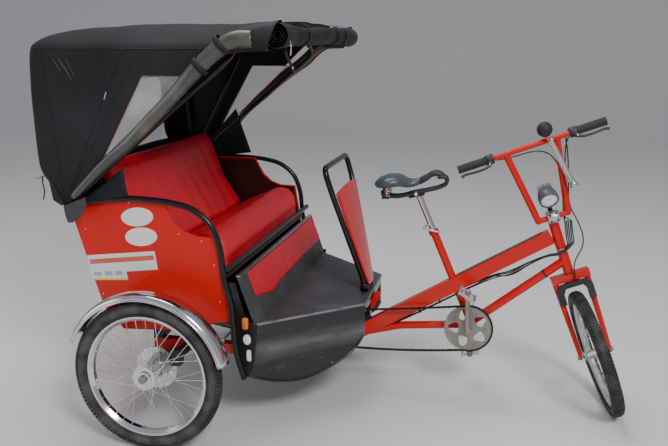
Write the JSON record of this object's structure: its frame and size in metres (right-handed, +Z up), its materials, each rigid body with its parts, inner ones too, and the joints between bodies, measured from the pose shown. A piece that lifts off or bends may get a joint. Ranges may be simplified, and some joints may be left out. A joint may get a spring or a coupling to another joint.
{
  "type": "cycle rickshaw",
  "caption": "Three-wheeled pedal rickshaw with a hooded two-to-three seat bench over the rear axle, step-through red tube frame and a single steered front wheel.",
  "frame": {"origin": "on the ground midway along the vehicle's length and width", "axes": "+X forward, +Y to the vehicle's left, +Z up"},
  "size_m": [2.1339, 1.508, 1.5279],
  "materials": {
    "red_paint": "gloss, worn",
    "black_paint": "gloss",
    "steel": "satin",
    "chrome": "polished",
    "aluminium": "brushed",
    "tyre": "matt",
    "red_vinyl": "satin",
    "black_fabric": "matt, worn",
    "grey_fabric": "semi-gloss",
    "clear_vinyl": "clouded",
    "deck_grey": "worn",
    "black_plastic": "matt",
    "saddle_cover": "satin",
    "amber": "gloss",
    "white_lens": "gloss",
    "lamp_grey": "satin",
    "rubber": "matt"
  },
  "bodies": {
    "chassis": {"amber_reflectors": "amber", "arm_tubes": "black_paint", "axle_housing": "black_paint", "back_panel": "red_paint", "backrest_cushion": "red_vinyl", "bottom_tube": "red_paint", "brake_calipers": "black_plastic", "chain": "steel", "down_tube": "red_paint", "floor_deck": "deck_grey", "floor_frame": "black_paint", "front_curtain_roll": "black_fabric", "handrail_hoop": "black_paint", "hood_bows": "black_paint", "hood_fabric": "black_fabric", "hood_windows": "clear_vinyl", "locker_floor": "black_paint", "main_beam": "red_paint", "marker_lamps": "white_lens", "mudguard_stays": "steel", "mudguards": "chrome", "nose_board": "black_paint", "post_panels": "black_paint", "rear_axle": "steel", "rear_cog": "steel", "saddle": "saddle_cover", "saddle_carrier": "black_plastic", "seat_boards": "black_paint", "seat_cushion": "red_vinyl", "seat_front_board": "deck_grey", "seat_front_trim": "aluminium", "seat_post": "chrome", "seat_rail": "black_paint", "seat_tube": "red_paint", "shield_board": "red_paint", "side_curtain_rolls": "grey_fabric", "side_panel_left": "red_paint", "side_panel_right": "red_paint", "side_rails": "red_paint", "skirts": "black_paint"},
    "steering": {"fork": "red_paint", "front_axle": "steel", "front_brake": "black_plastic", "stem": "aluminium", "handlebar": "red_paint", "upper_bar": "red_paint", "grips": "rubber", "brake_levers": "black_plastic", "headlight": "lamp_grey", "horn": "chrome"},
    "front_wheel": {"front_tyre": "tyre", "front_wheel": "aluminium"},
    "rear_wheel_right": {"rear_tyre_right": "tyre", "rear_wheel_right": "chrome"},
    "rear_wheel_left": {"rear_tyre_left": "tyre", "rear_wheel_left": "chrome"},
    "crankset": {"crankset": "aluminium"},
    "pedal_right": {"pedal_right": "black_plastic"},
    "pedal_left": {"pedal_left": "black_plastic"}
  },
  "joints": [
    {"name": "steering_turn", "type": "hinge", "parent": "chassis", "child": "steering", "pos_m": [0.763, 0, 0.76], "axis": [-0.3387, 0, 0.9409], "range_deg": [-5, 165]},
    {"name": "front_wheel_spin", "type": "hinge", "parent": "steering", "child": "front_wheel", "pos_m": [0.95561, -0.04456, 0.2435], "axis": [0.9317, 0.1392, 0.3354], "continuous": true},
    {"name": "rear_wheel_right_spin", "type": "hinge", "parent": "chassis", "child": "rear_wheel_right", "pos_m": [-0.65, -0.705, 0.281], "axis": [0, 1, 0], "continuous": true},
    {"name": "rear_wheel_left_spin", "type": "hinge", "parent": "chassis", "child": "rear_wheel_left", "pos_m": [-0.65, 0.705, 0.281], "axis": [0, 1, 0], "continuous": true},
    {"name": "crank_spin", "type": "hinge", "parent": "chassis", "child": "crankset", "pos_m": [0.453, 0, 0.309], "axis": [0, 1, 0], "continuous": true},
    {"name": "pedal_right_spin", "type": "hinge", "parent": "crankset", "child": "pedal_right", "pos_m": [0.44724, -0.13, 0.4739], "axis": [0, 1, 0], "continuous": true},
    {"name": "pedal_left_spin", "type": "hinge", "parent": "crankset", "child": "pedal_left", "pos_m": [0.45876, 0.13, 0.1441], "axis": [0, 1, 0], "continuous": true}
  ]
}
